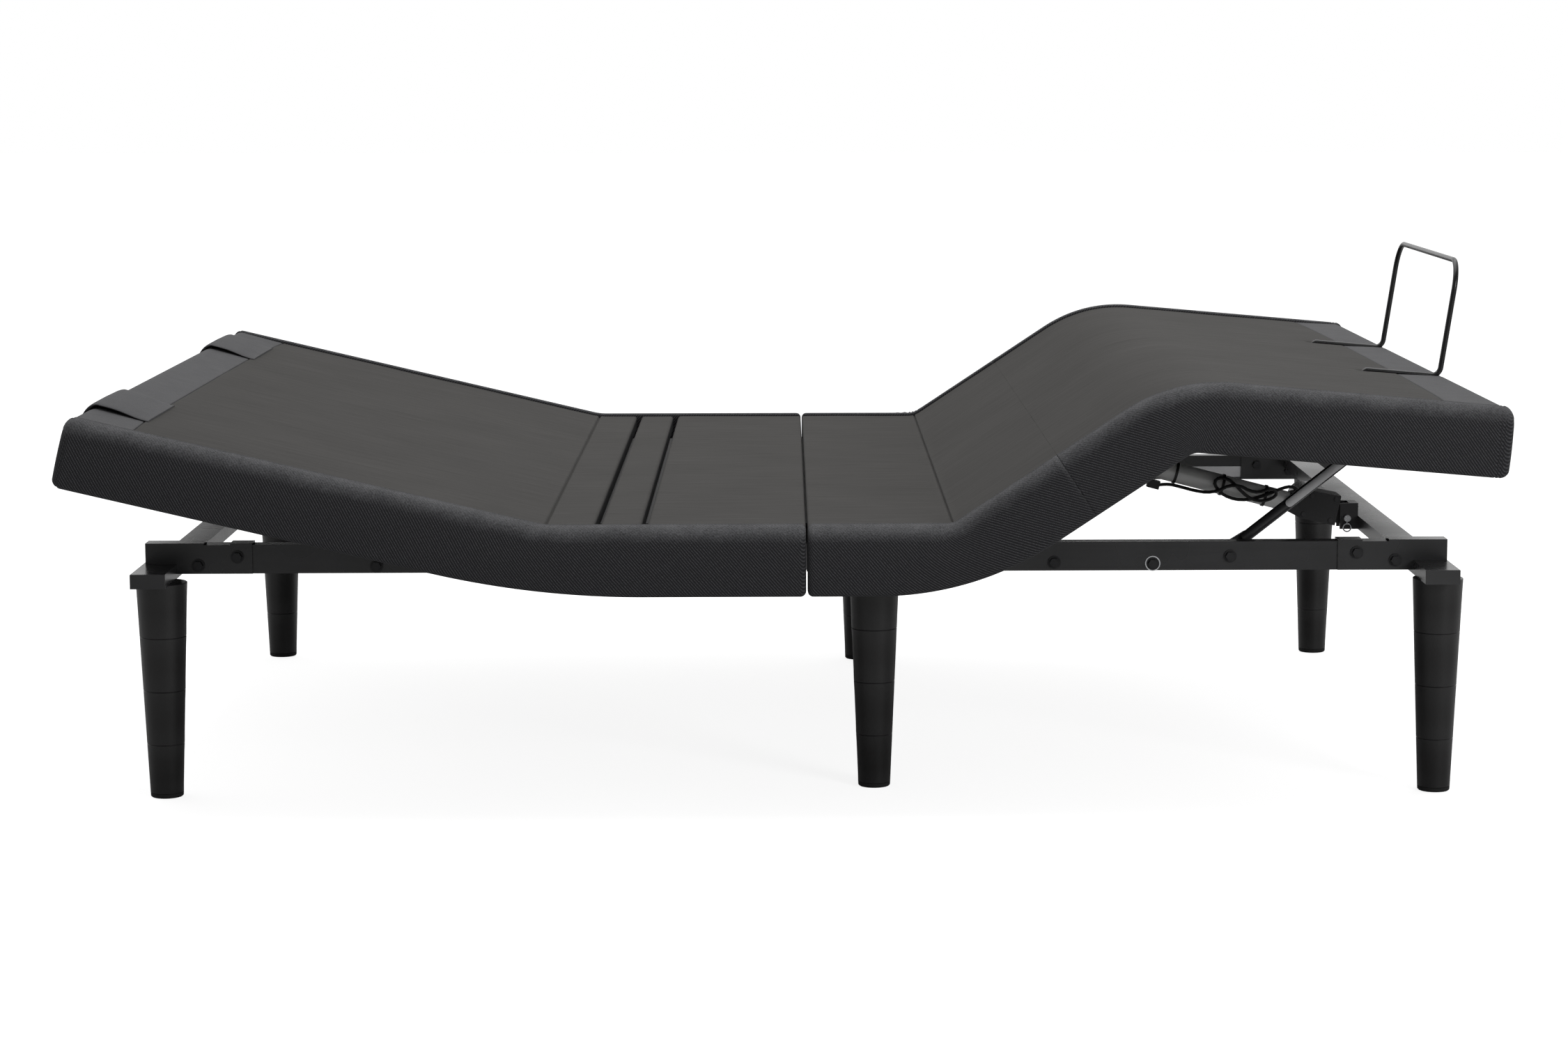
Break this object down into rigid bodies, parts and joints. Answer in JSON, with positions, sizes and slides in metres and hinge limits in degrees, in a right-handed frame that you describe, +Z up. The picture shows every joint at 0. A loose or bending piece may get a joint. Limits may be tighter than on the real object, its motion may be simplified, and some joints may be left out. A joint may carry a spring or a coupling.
{
  "type": "adjustable bed base",
  "caption": "Adjustable bed base with an upholstered deck that folds at back, hips and knees, a steel frame, segmented legs and linear actuators.",
  "frame": {"origin": "on the floor, at the centre of the base in plan at the rest pose", "axes": "+X from the head end to the foot end, +Y to the left side of a person lying on their back, +Z up"},
  "size_m": [1.9914, 1.512, 0.7348],
  "materials": {
    "frame_steel": "satin black powder coat",
    "deck_steel": "satin black powder coat",
    "leg_steel": "low gloss black powder coat",
    "plain_steel": "plain",
    "zinc_steel": "bright zinc plated",
    "black_bolts": "black oxide",
    "rod_steel": "polished",
    "tube_alu": "satin grey",
    "gear_plastic": "moulded",
    "motor_can": "gloss black",
    "box_plastic": "moulded",
    "cap_plastic": "moulded",
    "glide_rubber": "matte",
    "lead_rubber": "satin",
    "tie_plastic": "moulded",
    "roller_plastic": "moulded nylon",
    "deck_board": "raw board",
    "side_fabric": "upholstered twill over foam",
    "strap_fabric": "webbing"
  },
  "bodies": {
    "base": {"rail_head_right": "frame_steel", "rail_head_left": "frame_steel", "rail_foot_right": "frame_steel", "rail_foot_left": "frame_steel", "rail_splices": "plain_steel", "crossmember_head": "frame_steel", "crossmember_foot": "frame_steel", "crossmember_mid_head": "frame_steel", "crossmember_mid_foot": "frame_steel", "saddle_brackets": "frame_steel", "outrigger_arms": "frame_steel", "arm_end_caps": "cap_plastic", "leg_top_segments": "leg_steel", "leg_upper_segments": "leg_steel", "leg_lower_segments": "leg_steel", "leg_bottom_segments": "leg_steel", "leg_studs": "zinc_steel", "leg_glides": "glide_rubber", "frame_bolts": "black_bolts", "bolt_washers": "zinc_steel", "hinge_brackets": "frame_steel", "hinge_pins": "zinc_steel", "clevis_brackets": "frame_steel", "clevis_pins": "zinc_steel", "hairpin_clips": "zinc_steel", "control_box": "box_plastic", "seat_bearers": "deck_steel", "seat_board_head": "deck_board", "seat_board_foot": "deck_board", "lumbar_slats": "deck_board", "seat_foam_head": "side_fabric", "seat_foam_foot": "side_fabric"},
    "back_section": {"head_board": "deck_board", "head_frame": "deck_steel", "head_foam": "side_fabric", "head_straps": "strap_fabric"},
    "thigh_section": {"thigh_board": "deck_board", "thigh_frame": "deck_steel", "thigh_foam": "side_fabric", "knee_pins": "zinc_steel"},
    "calf_section": {"calf_board": "deck_board", "calf_frame": "deck_steel", "calf_foam": "side_fabric"},
    "retainer": {"retainer_bar": "frame_steel"},
    "crank": {"thigh_crank": "deck_steel"},
    "rollers": {"crank_rollers": "roller_plastic"},
    "link_right": {"calf_link_right": "frame_steel"},
    "link_left": {"calf_link_left": "frame_steel"},
    "head_actuator": {"head_gearbox": "gear_plastic", "head_motor": "motor_can", "head_outer_tube": "tube_alu", "head_lead_screw": "plain_steel"},
    "head_rod": {"head_inner_rod": "rod_steel"},
    "foot_actuator": {"foot_gearbox": "gear_plastic", "foot_motor": "motor_can", "foot_outer_tube": "tube_alu", "foot_lead_screw": "plain_steel", "motor_lead": "lead_rubber", "cable_ties": "tie_plastic"},
    "foot_rod": {"foot_inner_rod": "rod_steel"}
  },
  "joints": [
    {"name": "head_lift", "type": "hinge", "parent": "base", "child": "back_section", "pos_m": [-0.33, 0, 0.368], "axis": [0, 1, 0], "range_deg": [-13.3, 46.7]},
    {"name": "thigh_lift", "type": "hinge", "parent": "base", "child": "thigh_section", "pos_m": [0.24, 0, 0.368], "axis": [0, -1, 0], "range_deg": [-33.5, 8]},
    {"name": "knee", "type": "hinge", "parent": "thigh_section", "child": "calf_section", "pos_m": [0.5377, 0, 0.56504], "axis": [0, -1, 0], "range_deg": [-9.29, 38.6]},
    {"name": "retainer_lift", "type": "slide", "parent": "calf_section", "child": "retainer", "axis": [0.0872, 0, 0.9962], "range_m": [0, 0.06]},
    {"name": "crank_turn", "type": "hinge", "parent": "base", "child": "crank", "pos_m": [0.3, 0, 0.323], "axis": [0, -1, 0], "range_deg": [-39.3, 9.46]},
    {"name": "roller_spin", "type": "hinge", "parent": "crank", "child": "rollers", "pos_m": [0.46415, 0, 0.51156], "axis": [0, 1, 0], "continuous": true},
    {"name": "link_right_swing", "type": "hinge", "parent": "base", "child": "link_right", "pos_m": [0.632, 0, 0.331], "axis": [0, -1, 0], "range_deg": [-30.08, 7.26]},
    {"name": "link_left_swing", "type": "hinge", "parent": "base", "child": "link_left", "pos_m": [0.632, 0, 0.331], "axis": [0, -1, 0], "range_deg": [-30.08, 7.26]},
    {"name": "head_actuator_swing", "type": "hinge", "parent": "base", "child": "head_actuator", "pos_m": [0.085, 0.2, 0.3], "axis": [0, 1, 0], "range_deg": [-0.33, 0.89]},
    {"name": "head_rod_slide", "type": "slide", "parent": "head_actuator", "child": "head_rod", "axis": [-0.993, 0, -0.118], "range_m": [-0.0291, 0.10091]},
    {"name": "foot_actuator_swing", "type": "hinge", "parent": "base", "child": "foot_actuator", "pos_m": [0.841, -0.251, 0.349], "axis": [0, 1, 0], "range_deg": [-12.9, 3.16]},
    {"name": "foot_rod_slide", "type": "slide", "parent": "foot_actuator", "child": "foot_rod", "axis": [-0.9677, 0, 0.2521], "range_m": [-0.08542, 0.02078]}
  ],
  "couplings": [
    {"joint": "knee", "follows": "thigh_lift", "ratio": -1.1493},
    {"joint": "crank_turn", "follows": "thigh_lift", "ratio": 1.17},
    {"joint": "link_right_swing", "follows": "thigh_lift", "ratio": 0.895},
    {"joint": "link_left_swing", "follows": "thigh_lift", "ratio": 0.895},
    {"joint": "foot_actuator_swing", "follows": "thigh_lift", "ratio": 0.382},
    {"joint": "foot_rod_slide", "follows": "thigh_lift", "m_per_rad": 0.14524},
    {"joint": "head_actuator_swing", "follows": "head_lift", "ratio": 0.017},
    {"joint": "head_rod_slide", "follows": "head_lift", "m_per_rad": 0.12319}
  ]
}
